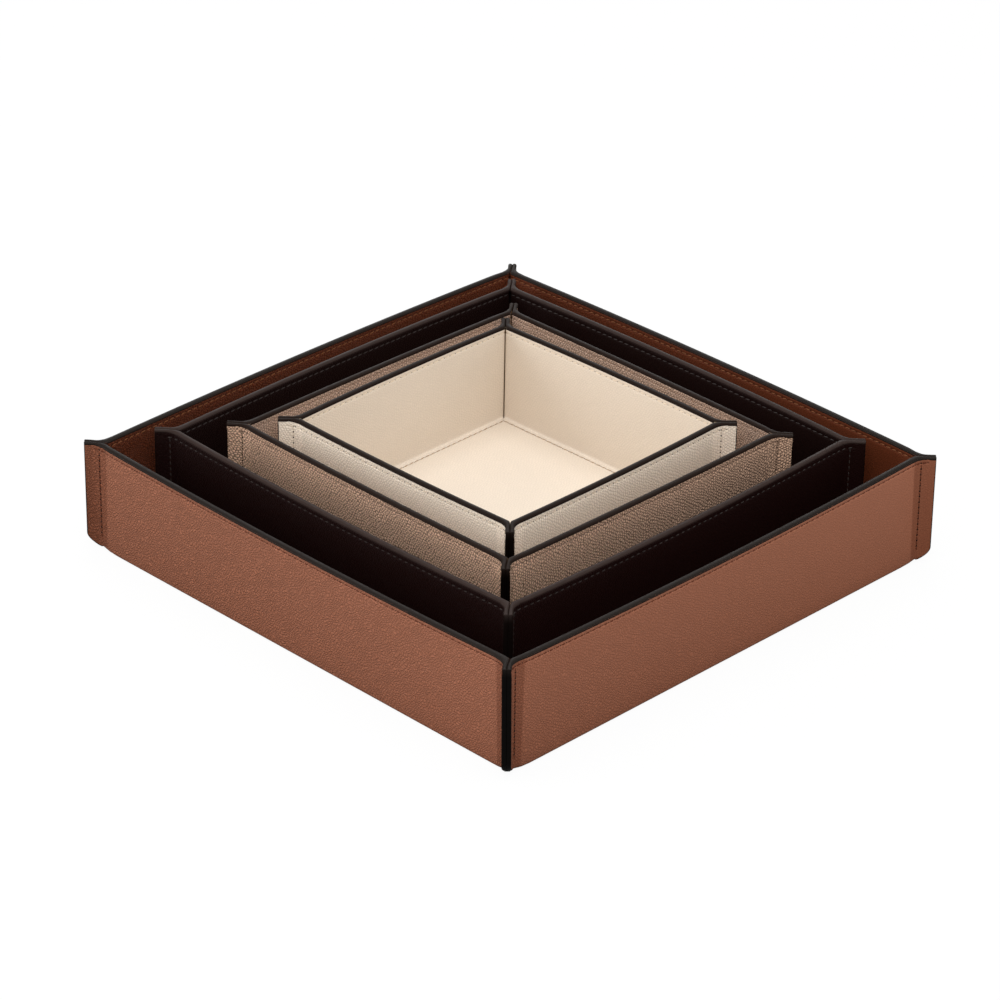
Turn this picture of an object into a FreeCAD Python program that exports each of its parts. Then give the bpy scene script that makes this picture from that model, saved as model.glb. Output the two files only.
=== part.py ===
# Nest of four square leather valet trays, each standing loose inside the next larger one.
# A tray is an outer leather and a lining, both cut as a cross and folded up, with stiff boards between
# them. At each corner the two walls turn out and their ears lie together as a sewn, trimmed fin.
# Millimetres, +Z up, origin at the centre of the large tray's underside.
import FreeCAD, Part
import Sketcher
import math
import os

TRAYS = ["large", "medium", "small", "mini"]
WALLS = ["front", "right", "back", "left"]

# Driving dimensions: name, value and meaning
SIZES = [
    ("large_width", 300, "outside width of the large tray, wall to wall"),
    ("medium_gap", 22.15, "from the large tray's lining to the centred medium tray's wall"),
    ("small_gap", 21.75, "from the medium tray's lining to the centred small tray's wall"),
    ("mini_gap", 15.2, "from the small tray's lining to the centred mini tray's wall"),
    ("large_height", 61, "height of the large tray"),
    ("medium_height", 60.5, "height of the medium tray"),
    ("small_height", 60.5, "height of the small tray"),
    ("mini_height", 58.5, "height of the mini tray"),
    ("medium_aside", -0.29, "how far right the medium tray stands, as a share of its play"),
    ("medium_behind", 0.31, "how far back the medium tray stands, as a share of its play"),
    ("medium_turn", 0, "degrees that the medium tray is turned"),
    ("small_aside", 0.105, "how far right the small tray stands, as a share of its play"),
    ("small_behind", -0.13, "how far back the small tray stands, as a share of its play"),
    ("small_turn", -0.3, "degrees that the small tray is turned"),
    ("mini_aside", -0.345, "how far right the mini tray stands, as a share of its play"),
    ("mini_behind", 0.17, "how far back the mini tray stands, as a share of its play"),
    ("mini_turn", 0.6, "degrees that the mini tray is turned"),
    ("leather", 1, "thickness of the outer leather"),
    ("lining", 1, "thickness of the lining"),
    ("wall_board", 2.1, "thickness of a wall board"),
    ("base_board", 3, "thickness of the base board"),
    ("leather_fold", 2.5, "outside radius of the outer leather's fold from base to wall"),
    ("lining_fold", 1.8, "outside radius of the lining's fold from base to wall"),
    ("leather_bend", 4, "outside radius where the outer leather turns from wall to ear"),
    ("lining_bend", 1, "outside radius where the lining turns from wall to ear"),
    ("ear_reach", 6.2, "from the sharp corner of the walls to the tip of the ears"),
    ("ear_trim", 5.8, "size of the slanted cut at the foot of the ears"),
    ("ear_round", 3, "radius between that cut and the upright tip"),
    ("ear_slit", 0.2, "gap between the two linings inside a pair of ears"),
    ("board_gap", 0.5, "room round a board's edges for the folds and bends"),
    ("overlap", 0.5, "how far joined features run into each other"),
]

doc = FreeCAD.newDocument("NestedValetTrays")
sizes = doc.addObject("Spreadsheet::Sheet", "Sizes")
nest = doc.addObject("Spreadsheet::Sheet", "Nest")


def fill_sizes():
    """Write each driving dimension to the sheet, with its alias and meaning."""
    for row, (alias, number, meaning) in enumerate(SIZES, start=1):
        sizes.set(f"A{row}", meaning)
        sizes.set(f"B{row}", str(number))
        sizes.setAlias(f"B{row}", alias)


def fill_nest():
    """Work out the layers, and each tray's width and place inside the next larger tray."""
    rows = [
        ("wall", "Sizes.leather + Sizes.wall_board + Sizes.lining"),
        ("base", "Sizes.leather + Sizes.base_board + Sizes.lining"),
        ("ear_half", "Sizes.ear_slit / 2 + Sizes.lining + Sizes.leather"),
        ("ear_stand", "(Sizes.ear_reach + ear_half) / sqrt(2)"),
        ("large_width", "Sizes.large_width"),
        ("large_x", "0"),
        ("large_y", "0"),
        ("large_z", "0"),
        ("large_turn", "0"),
    ]
    for outer, tray in zip(TRAYS, TRAYS[1:]):
        play = f"(Sizes.{tray}_gap - ear_stand)"
        rows += [
            (f"{tray}_width", f"{outer}_width - 2 * (wall + Sizes.{tray}_gap)"),
            (f"{tray}_x", f"{outer}_x + Sizes.{tray}_aside * {play}"),
            (f"{tray}_y", f"{outer}_y + Sizes.{tray}_behind * {play}"),
            (f"{tray}_z", f"{outer}_z + base"),
            (f"{tray}_turn", f"Sizes.{tray}_turn"),
        ]
    for row, (alias, formula) in enumerate(rows, start=1):
        nest.set(f"A{row}", alias)
        nest.set(f"B{row}", f"={formula}")
        nest.setAlias(f"B{row}", alias)


def value(expression):
    """The present value of an expression on the sheets."""
    return float(nest.evalExpression(expression))


def new_body(tray, piece):
    """An empty body standing where its tray stands."""
    body = doc.addObject("PartDesign::Body", f"{tray}_tray_{piece}")
    body.Label = f"{tray}_tray_{piece}"
    for axis in "xyz":
        body.setExpression(f"Placement.Base.{axis}", f"Nest.{tray}_{axis}")
    body.setExpression("Placement.Rotation.Angle", f"Nest.{tray}_turn")
    return body


def new_sketch(body, name, role, turn=0, lift=None):
    """A sketch on one of the body's own planes, turned in it and lifted along +Z."""
    sketch = body.newObject("Sketcher::SketchObject", f"{body.Name}_{name}")
    plane = next(feature for feature in body.Origin.OriginFeatures if feature.Role == role)
    sketch.AttachmentSupport = [(plane, "")]
    sketch.MapMode = "FlatFace"
    sketch.AttachmentOffset.Rotation = FreeCAD.Rotation(FreeCAD.Vector(0, 0, 1), turn)
    if lift:
        up = "z" if role == "XY_Plane" else "y"
        sketch.setExpression(f"AttachmentOffset.Base.{up}", lift)
    return sketch


def draw_outline(sketch, corners):
    """Draw a closed outline through (x, y, radius) corners; a corner with a radius is a tangent arc."""
    points = [FreeCAD.Vector(x, y, 0) for x, y, radius in corners]
    entries, exits, turns = [], [], []
    for index, (x, y, radius) in enumerate(corners):
        before = (points[index - 1] - points[index]).normalize()
        after = (points[(index + 1) % len(points)] - points[index]).normalize()
        setback = radius / math.tan(before.getAngle(after) / 2)
        entries.append(points[index] + before * setback)
        exits.append(points[index] + after * setback)
        turns.append(after.cross(before).z)
    lines, arcs = [], {}
    for index in range(len(points)):
        line = Part.LineSegment(exits[index], entries[(index + 1) % len(points)])
        lines.append(sketch.addGeometry(line))
    for index, (x, y, radius) in enumerate(corners):
        if not radius:
            sketch.addConstraint(Sketcher.Constraint("Coincident", lines[index - 1], 2, lines[index], 1))
            continue
        middle = (entries[index] + exits[index]) / 2
        inward = (middle - points[index]).normalize()
        centre = points[index] + inward * math.hypot(radius, (entries[index] - points[index]).Length)
        ends = [entries[index] - centre, exits[index] - centre]
        if turns[index] < 0:
            ends.reverse()
        angles = [math.atan2(end.y, end.x) for end in ends]
        circle = Part.Circle(centre, FreeCAD.Vector(0, 0, 1), radius)
        arcs[index] = sketch.addGeometry(Part.ArcOfCircle(circle, *angles))
        first, last = (1, 2) if turns[index] > 0 else (2, 1)
        sketch.addConstraint(Sketcher.Constraint("Tangent", lines[index - 1], 2, arcs[index], first))
        sketch.addConstraint(Sketcher.Constraint("Tangent", arcs[index], last, lines[index], 1))
    return lines, arcs


def fix(sketch, kind, *elements):
    """Add a geometric constraint."""
    sketch.addConstraint(Sketcher.Constraint(kind, *elements))


def drive(sketch, name, expression, kind, *elements):
    """Add a dimension that follows an expression on the sheets."""
    index = sketch.addConstraint(Sketcher.Constraint(kind, *elements, value(expression)))
    sketch.renameConstraint(index, name)
    sketch.setExpression(f"Constraints.{name}", expression)


def draw_square(sketch, side):
    """A square about the origin."""
    half = value(side) / 2
    lines, arcs = draw_outline(sketch, [(-half, -half, 0), (half, -half, 0), (half, half, 0), (-half, half, 0)])
    for index, line in enumerate(lines):
        fix(sketch, "Vertical" if index % 2 else "Horizontal", line)
    fix(sketch, "Equal", lines[0], lines[1])
    fix(sketch, "Symmetric", lines[0], 1, lines[1], 2, -1, 1)
    drive(sketch, "side", side, "DistanceX", lines[0], 1, lines[0], 2)


def add_pad(body, sketch, length, name, side_type="One side"):
    """Raise a sketch by a length."""
    pad = body.newObject("PartDesign::Pad", f"{body.Name}_{name}")
    pad.Profile = sketch
    pad.SideType = side_type
    pad.setExpression("Length", length)
    return pad


def draw_flap(sketch, face, thick, fold, rise):
    """The bent section of a wall: a short run of base, the fold, and the wall up to its top edge."""
    half, wall, radius, top = value(face), value(thick), value(fold), value(rise)
    leg = 2 * radius
    lines, arcs = draw_outline(sketch, [
        (leg - half, 0, 0), (-half, 0, radius), (-half, top, 0),
        (wall - half, top, 0), (wall - half, wall, radius - wall), (leg - half, wall, 0),
    ])
    for index, line in enumerate(lines):
        fix(sketch, "Vertical" if index % 2 else "Horizontal", line)
    fix(sketch, "Coincident", arcs[1], 3, arcs[4], 3)
    fix(sketch, "PointOnObject", lines[0], 1, -1)
    drive(sketch, "face", face, "Distance", -1, 1, lines[1])
    drive(sketch, "thickness", thick, "DistanceX", lines[2], 1, lines[2], 2)
    drive(sketch, "fold", fold, "Radius", arcs[1])
    drive(sketch, "rise", rise, "DistanceY", -1, 1, lines[1], 2)
    drive(sketch, "leg", f"2 * ({fold})", "DistanceX", lines[1], 2, lines[0], 1)


def draw_ears(sketch, face, thick, bend, near, tip):
    """The two ears of a corner, one each side of the diagonal, which is the sketch's X axis."""
    half, wall, radius, gap, end = value(face), value(thick), value(bend), value(near), value(tip)
    root = value("Sizes.overlap")
    corner = half * math.sqrt(2)
    back = (root + radius * math.tan(math.pi / 8)) / math.sqrt(2)
    for side, word in ((1, "rear"), (-1, "front")):
        outer = corner - gap - wall
        inner = corner - gap - wall * math.sqrt(2)
        shift = wall / math.sqrt(2)
        lines, arcs = draw_outline(sketch, [
            (outer - back, side * (gap + wall + back), 0),
            (outer, side * (gap + wall), radius),
            (end, side * (gap + wall), 0),
            (end, side * gap, 0),
            (inner, side * gap, radius + wall),
            (outer - back - shift, side * (gap + wall + back - shift), 0),
        ])
        fix(sketch, "Angle", lines[0], -side * math.pi / 4)
        fix(sketch, "Horizontal", lines[1])
        fix(sketch, "Vertical", lines[2])
        fix(sketch, "Horizontal", lines[3])
        fix(sketch, "Parallel", lines[0], lines[4])
        fix(sketch, "Perpendicular", lines[4], lines[5])
        fix(sketch, "Coincident", arcs[1], 3, arcs[4], 3)
        drive(sketch, f"{word}_face", face, "Distance", -1, 1, lines[0])
        drive(sketch, f"{word}_thickness", thick, "Distance", lines[2])
        drive(sketch, f"{word}_bend", bend, "Radius", arcs[1])
        drive(sketch, f"{word}_near", near, "Distance", -1, 1, lines[3])
        drive(sketch, f"{word}_tip", tip, "Distance", -1, 1, lines[2])
        drive(sketch, f"{word}_root", "Sizes.overlap", "Distance", lines[0], 1, lines[0], 2)


def draw_trim(sketch, tip):
    """What is cut away below and beyond the slanted, rounded foot of the ears."""
    end, trim, spare = value(tip), value("Sizes.ear_trim"), value("Sizes.overlap")
    radius = value("Sizes.ear_round")
    top = trim + radius
    lines, arcs = draw_outline(sketch, [
        (end - trim - spare, -spare, 0), (end, trim, radius), (end, top, 0),
        (end + spare, top, 0), (end + spare, -spare, 0),
    ])
    fix(sketch, "Angle", lines[0], math.pi / 4)
    fix(sketch, "Vertical", lines[1])
    fix(sketch, "Horizontal", lines[2])
    fix(sketch, "Vertical", lines[3])
    fix(sketch, "Horizontal", lines[4])
    drive(sketch, "tip", tip, "Distance", -1, 1, lines[1])
    drive(sketch, "trim", "Sizes.ear_trim + Sizes.overlap", "DistanceX", lines[0], 1, lines[1], 2)
    drive(sketch, "below", "Sizes.overlap", "Distance", -1, 1, lines[4])
    drive(sketch, "beyond", "Sizes.overlap", "DistanceX", lines[2], 1, lines[2], 2)
    drive(sketch, "round", "Sizes.ear_round", "Radius", arcs[1])
    drive(sketch, "top", "Sizes.ear_trim + Sizes.ear_round", "DistanceY", -1, 1, lines[1], 2)


def folded_skin(tray, piece, thick, inset, near, fold, bend, floor, foot):
    """One cross of leather folded up: a base, four walls with folds, and a pair of ears at each corner."""
    body = new_body(tray, piece)
    width, height = f"Nest.{tray}_width", f"Sizes.{tray}_height"
    face = f"{width} / 2 - ({inset})"
    straight = f"{face} - sqrt(2) * ({near} + {thick}) - (sqrt(2) - 1) * {bend}"
    tip = f"{width} / sqrt(2) + Sizes.ear_reach"

    sketch = new_sketch(body, "base_outline", "XY_Plane", lift=floor)
    draw_square(sketch, f"2 * ({face} - {fold})")
    add_pad(body, sketch, thick, "base")

    sketch = new_sketch(body, "wall_section", "YZ_Plane", lift=floor)
    draw_flap(sketch, face, thick, fold, f"{height} - ({floor})")
    flap = add_pad(body, sketch, f"2 * ({straight})", "wall", "Symmetric")

    sketch = new_sketch(body, "ear_outline", "XY_Plane", turn=-45, lift=foot)
    draw_ears(sketch, face, thick, bend, near, tip)
    ears = add_pad(body, sketch, f"{height} - ({foot})", "ears")

    around = body.newObject("PartDesign::PolarPattern", f"{body.Name}_sides")
    around.Originals = [flap, ears]
    around.Axis = (next(f for f in body.Origin.OriginFeatures if f.Role == "Z_Axis"), [""])
    around.Angle = 360
    around.Occurrences = len(WALLS)
    body.Tip = around

    if floor != foot:
        sketch = new_sketch(body, "underside", "XY_Plane", lift=floor)
        draw_square(sketch, f"{width} - 2 * Sizes.leather")
        under = body.newObject("PartDesign::Pocket", f"{body.Name}_clear_base")
        under.Profile = sketch
        under.setExpression("Length", f"({floor}) - ({foot})")

    sketch = new_sketch(body, "trim_section", "XZ_Plane")
    draw_trim(sketch, tip)
    trim = body.newObject("PartDesign::Groove", f"{body.Name}_trim")
    trim.Profile = sketch
    trim.ReferenceAxis = (sketch, ["V_Axis"])
    trim.Angle = 360
    return body


def base_board(tray):
    """The stiff board under the lining's floor, inside the fold of the outer leather."""
    body = new_body(tray, "base_board")
    sketch = new_sketch(body, "outline", "XY_Plane", lift="Sizes.leather")
    draw_square(sketch, f"Nest.{tray}_width - 2 * Sizes.leather_fold")
    add_pad(body, sketch, "Sizes.base_board", "board")
    return body


def wall_board(tray, wall, quarter):
    """The stiff board in one wall, from above the base board up to the painted top edge."""
    body = new_body(tray, f"{wall}_board")
    foot = "Sizes.leather + Sizes.base_board + Sizes.board_gap"
    face = f"Nest.{tray}_width / 2 - Sizes.leather"
    lining_turn = "sqrt(2) * (Sizes.ear_slit / 2 + Sizes.lining) + (sqrt(2) - 1) * Sizes.lining_bend"
    length = f"2 * ({face} - Sizes.wall_board - ({lining_turn}) - Sizes.board_gap)"
    half, near, far = value(length) / 2, value(f"Sizes.wall_board - ({face})"), -value(face)
    sketch = new_sketch(body, "outline", "XY_Plane", turn=90 * quarter, lift=foot)
    lines, arcs = draw_outline(sketch, [(-half, far, 0), (half, far, 0), (half, near, 0), (-half, near, 0)])
    fix(sketch, "Symmetric", lines[0], 1, lines[0], 2, -2)
    fix(sketch, "Vertical", lines[1])
    fix(sketch, "Horizontal", lines[2])
    fix(sketch, "Vertical", lines[3])
    drive(sketch, "length", length, "DistanceX", lines[0], 1, lines[0], 2)
    drive(sketch, "face", face, "Distance", -1, 1, lines[0])
    drive(sketch, "thickness", "Sizes.wall_board", "DistanceY", lines[1], 1, lines[1], 2)
    add_pad(body, sketch, f"Sizes.{tray}_height - ({foot})", "board")
    return body


def build_tray(tray):
    """All the pieces of one tray."""
    core = "Sizes.leather + Sizes.base_board"
    pieces = [
        folded_skin(tray, "outer_leather", "Sizes.leather", "0", "(Sizes.ear_slit / 2 + Sizes.lining)",
                    "Sizes.leather_fold", "Sizes.leather_bend", floor="0", foot="0"),
        folded_skin(tray, "lining", "Sizes.lining", "Sizes.leather + Sizes.wall_board", "(Sizes.ear_slit / 2)",
                    "Sizes.lining_fold", "Sizes.lining_bend", floor=core, foot="Sizes.leather"),
        base_board(tray),
    ]
    pieces += [wall_board(tray, wall, quarter) for quarter, wall in enumerate(WALLS)]
    return pieces


fill_sizes()
fill_nest()
doc.recompute()
pieces = [piece for tray in TRAYS for piece in build_tray(tray)]
doc.recompute()

for item in doc.Objects:
    if "Invalid" in item.State or "Error" in item.State:
        raise RuntimeError(f"{item.Label} failed: {item.State}")
for piece in pieces:
    if piece.Shape.isNull() or not piece.Shape.isValid() or len(piece.Shape.Solids) != 1:
        raise RuntimeError(f"{piece.Label} is not one valid solid")

os.makedirs("parts", exist_ok=True)
for piece in pieces:
    piece.Shape.exportStep(f"parts/{piece.Label}.step")
    print(piece.Label, round(piece.Shape.Volume), "cubic mm")
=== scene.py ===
import math

import bmesh
import bpy
from bpy.props import FloatProperty, FloatVectorProperty, PointerProperty
from mathutils import Matrix, Vector


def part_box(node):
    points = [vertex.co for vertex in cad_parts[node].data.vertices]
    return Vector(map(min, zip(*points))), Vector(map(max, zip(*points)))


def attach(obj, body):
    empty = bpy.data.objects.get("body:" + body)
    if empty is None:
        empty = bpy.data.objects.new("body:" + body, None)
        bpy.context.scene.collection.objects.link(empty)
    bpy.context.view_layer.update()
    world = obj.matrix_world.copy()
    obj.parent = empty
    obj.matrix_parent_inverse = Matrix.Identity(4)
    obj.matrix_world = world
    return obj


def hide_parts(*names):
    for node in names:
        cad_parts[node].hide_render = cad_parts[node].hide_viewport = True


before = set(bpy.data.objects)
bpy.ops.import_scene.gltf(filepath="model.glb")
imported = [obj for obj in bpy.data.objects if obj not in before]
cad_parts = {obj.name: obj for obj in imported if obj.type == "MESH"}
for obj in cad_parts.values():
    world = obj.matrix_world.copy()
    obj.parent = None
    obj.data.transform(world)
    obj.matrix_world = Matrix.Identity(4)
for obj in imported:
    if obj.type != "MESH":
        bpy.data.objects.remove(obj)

bl_info = {
    "name": "Nested Valet Trays",
    "version": (1, 0, 0),
    "blender": (4, 5, 0),
    "location": "View3D > Sidebar > Trays",
    "description": "Dresses a nest of sewn leather valet trays: skins, boards, painted edges and seams",
    "category": "Object",
}

MM = 0.001
TRAYS = ("large", "medium", "small", "mini")
WALLS = ("front", "right", "back", "left")
QUARTER = math.pi / 2
EAR_TURN = math.pi / 4
TURN_SHARE = math.tan(EAR_TURN / 2)
BOW_RISE = 1.4
TIP_FACING = 0.35
TIP_LAP = 0.18 * MM
PAINT_BELLY = 0.6 * MM


def length(name, description, millimetres):
    """A size that a user may change, with its default in millimetres."""
    return FloatProperty(
        name=name, description=description, default=millimetres * MM, precision=5, unit="LENGTH"
    )


def colour(name, description, red, green, blue):
    """A colour that a user may change, in scene-linear values."""
    return FloatVectorProperty(
        name=name, description=description, default=(red, green, blue), min=0, max=1, subtype="COLOR"
    )


class TraySizes(bpy.types.PropertyGroup):
    """Sizes of leather, boards, seams and paint, and how each tray's ears and walls have set."""

    leather: length("Leather", "Thickness of the outer leather and of the lining", 1.0)
    board: length("Wall board", "Thickness of the board inside each wall", 2.1)
    base: length("Base", "Height of the floor above the underside", 5.0)
    fold: length("Base fold", "Outer radius where the leather turns up from the base", 2.5)
    lining_fold: length("Lining fold", "Radius where the lining turns up from the floor", 1.3)
    bend_foot: length("Bend at foot", "Outer radius where a wall turns out into its ear, at the foot", 5.0)
    bend_rim: length("Bend at rim", "The same radius at the rim", 8.5)
    lining_bend: length("Lining bend", "Radius where the lining turns out into the ear", 2.6)
    ear_slit: length("Ear slit", "Gap between the two leaves of a corner", 0.3)
    ear_lap: length("Ear lap", "More lap of the edge paint where the rim turns into an ear", 0.15)
    foot_height: length("Ear foot", "Height of the rounded cut at an ear's foot", 9.0)
    foot_width: length("Ear foot width", "Width of the rounded cut at an ear's foot", 8.2)
    large_spread: length("Large spread", "Spread of the large tray's right wall at its far foot", 2.2)
    foot_rise: length("Foot rise", "How far the lower edge rises at the root of an ear", 0.8)
    large_lean: length("Large lean", "Clockwise lean of the large tray's ears at their tips", 2.1)
    medium_lean: length("Medium lean", "The same on the medium tray", 1.4)
    small_lean: length("Small lean", "The same on the small tray", 1.7)
    mini_lean: length("Mini lean", "The same on the mini tray", 0.4)
    lean_reach: length("Lean reach", "Distance of the lean's start from the sharp corner", 9.0)
    corner_lift: length("Corner lift", "How far the base's corners are drawn up", 1.2)
    rim_seam: length("Rim seam", "Depth of the rim seam under the edge, outside", 3.1)
    large_rim_seam: length("Large rim seam", "Depth of the large tray's outer rim seam", 2.45)
    inner_rim_seam: length("Inner rim seam", "Depth of the rim seam under the edge, on the lining", 2.7)
    corner_seam: length("Corner seam", "Distance of the upright seam from the ear's tip", 7.7)
    floor_seam: length("Floor seam", "Distance of the floor seam from the wall", 2.8)
    stitch_pitch: length("Stitch pitch", "Distance from stitch to stitch on rims and floors", 4.0)
    corner_pitch: length("Corner stitch pitch", "Distance from stitch to stitch on the ears", 3.3)
    thread: length("Thread", "Thickness of the sewing thread", 0.62)
    groove: length("Seam groove", "Depth to which a seam draws the leather in", 0.28)
    crown: length("Paint crown", "Height of the paint on a cut edge", 1.1)
    large_lap: length("Large paint lap", "How far the paint stands out beside the large tray's rim", 0.25)
    medium_lap: length("Medium paint lap", "The same on the medium tray", 0.2)
    small_lap: length("Small paint lap", "The same on the small tray", 0.28)
    mini_lap: length("Mini paint lap", "The same on the mini tray", 0.3)
    paint_sink: length("Paint sink", "How far the paint wraps over the faces beside a cut edge", 0.5)
    large_ear: length("Large ear", "How far an ear of the large tray stands past the sharp corner", 5.1)
    medium_ear: length("Medium ear", "The same on the medium tray", 6.8)
    small_ear: length("Small ear", "The same on the small tray", 6.0)
    mini_ear: length("Mini ear", "The same on the mini tray", 6.0)
    large_bow: length("Large bow", "Outward bow of the large tray's rim at mid wall", 2.76)
    medium_bow: length("Medium bow", "Outward bow of the medium tray's rim at mid wall", 2.81)
    small_bow: length("Small bow", "Outward bow of the small tray's rim at mid wall", 0.95)
    mini_bow: length("Mini bow", "Outward bow of the mini tray's rim at mid wall", 1.33)


class TrayColours(bpy.types.PropertyGroup):
    """Colours of the leathers, the threads, the paint and the boards."""

    large: colour("Large leather", "Tan leather of the large tray", 0.434, 0.162, 0.0895)
    medium: colour("Medium leather", "Near-black leather of the medium tray", 0.0098, 0.0016, 0.0011)
    small: colour("Small leather", "Taupe leather of the small tray", 0.752, 0.474, 0.328)
    # Painted light: the mini leather is lighter than the mini lining, to stand for light on the mini's outer
    # walls, which stand shaded inside the nest.
    mini: colour("Mini leather", "Cream leather of the mini tray", 0.928, 0.812, 0.674)
    # Painted shade: the large lining is the tan leather darkened and reddened for the shade between the large
    # and medium walls.
    large_lining: colour("Large lining", "Lining of the large tray", 0.152, 0.0345, 0.0112)
    medium_lining: colour("Medium lining", "Lining of the medium tray", 0.0080, 0.0018, 0.0013)
    small_lining: colour("Small lining", "Lining of the small tray", 0.635, 0.441, 0.336)
    mini_lining: colour("Mini lining", "Lining of the mini tray", 0.718, 0.625, 0.522)
    large_thread: colour("Large thread", "Thread of the large tray", 0.110, 0.026, 0.011)
    medium_thread: colour("Medium thread", "Thread of the medium tray", 0.042, 0.034, 0.031)
    small_thread: colour("Small thread", "Thread of the small tray", 0.2, 0.125, 0.085)
    mini_thread: colour("Mini thread", "Thread of the mini tray", 0.700, 0.580, 0.450)
    large_inner_thread: colour("Large inner thread", "Thread inside the large tray", 0.235, 0.088, 0.038)
    medium_inner_thread: colour("Medium inner thread", "Thread inside the medium tray", 0.046, 0.037, 0.035)
    small_inner_thread: colour("Small inner thread", "Thread inside the small tray", 0.300, 0.195, 0.135)
    mini_inner_thread: colour("Mini inner thread", "Thread inside the mini tray", 0.760, 0.640, 0.500)
    large_paint: colour("Large edge paint", "Edge paint of the large tray", 0.01, 0.0066, 0.005)
    medium_paint: colour("Medium edge paint", "Edge paint of the medium tray", 0.0225, 0.0132, 0.0108)
    small_paint: colour("Small edge paint", "Edge paint of the small tray", 0.0082, 0.003, 0.0011)
    mini_paint: colour("Mini edge paint", "Edge paint of the mini tray", 0.0072, 0.0026, 0.0009)
    needle: colour("Needle holes", "Shade inside the needle holes", 0.016, 0.004, 0.002)
    # Partly painted shade: the mini floor thread is darker than the mini's inner thread, standing for the
    # thread and for the shade of the groove it lies in.
    mini_floor_thread: colour("Mini floor thread", "Thread of the mini floor seam", 0.400, 0.290, 0.200)
    board: colour("Board", "Fibre board inside the walls", 0.350, 0.300, 0.250)


def sizes():
    """The sizes in use."""
    return bpy.context.scene.tray_sizes


def colours():
    """The colours in use."""
    return bpy.context.scene.tray_colours


class Place:
    """Where one tray stands and how large it is, read from its base board and its leather."""

    def __init__(self, tray):
        corners = [v.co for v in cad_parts[f"{tray}_tray_base_board"].data.vertices]
        front_right = max(corners, key=lambda p: p.x - p.y)
        back_right = max(corners, key=lambda p: p.x + p.y)
        back_left = min(corners, key=lambda p: p.x - p.y)
        side = back_right - front_right
        low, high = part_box(f"{tray}_tray_outer_leather")
        self.half = math.hypot(side.x, side.y) / 2 + sizes().fold
        self.height = high.z - low.z
        middle = (front_right + back_left) / 2
        centre = Matrix.Translation((middle.x, middle.y, low.z))
        self.matrix = centre @ Matrix.Rotation(math.atan2(-side.x, side.y), 4, "Z")
        self.bow = getattr(sizes(), f"{tray}_bow")
        self.ear = getattr(sizes(), f"{tray}_ear")
        self.lean = getattr(sizes(), f"{tray}_lean")
        self.spread = sizes().large_spread if tray == "large" else 0
        self.rim_seam = sizes().large_rim_seam if tray == "large" else sizes().rim_seam

    def settle(self, point):
        """Spreads a point with its wall and, near a corner, leans it round with its ear, less at the foot."""
        size = sizes()
        start = math.sqrt(2) * self.half - size.lean_reach
        share = ((abs(point.x) + abs(point.y)) / math.sqrt(2) - start) / (size.lean_reach + self.ear)
        middle, far, rim_loss, ear_loss = 0.7, 0.3, 0.45, 0.45
        spread = self.spread * max(point.x, 0) / self.half * (middle + far * point.y / self.half)
        spread *= (1 - rim_loss * point.z / self.height) * (1 - ear_loss * min(max(share, 0), 1))
        wide = point + Vector((spread, 0, 0))
        if share <= 0:
            return wide
        ease, at_foot, to_rim = 1.3, 0.75, 0.25
        lean = self.lean * math.sin(QUARTER * min(share, 1)) ** ease
        lean *= at_foot + to_rim * point.z / self.height
        clockwise = Vector((math.copysign(1, point.y), -math.copysign(1, point.x), 0)).normalized()
        return wide + lean * clockwise


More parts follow.
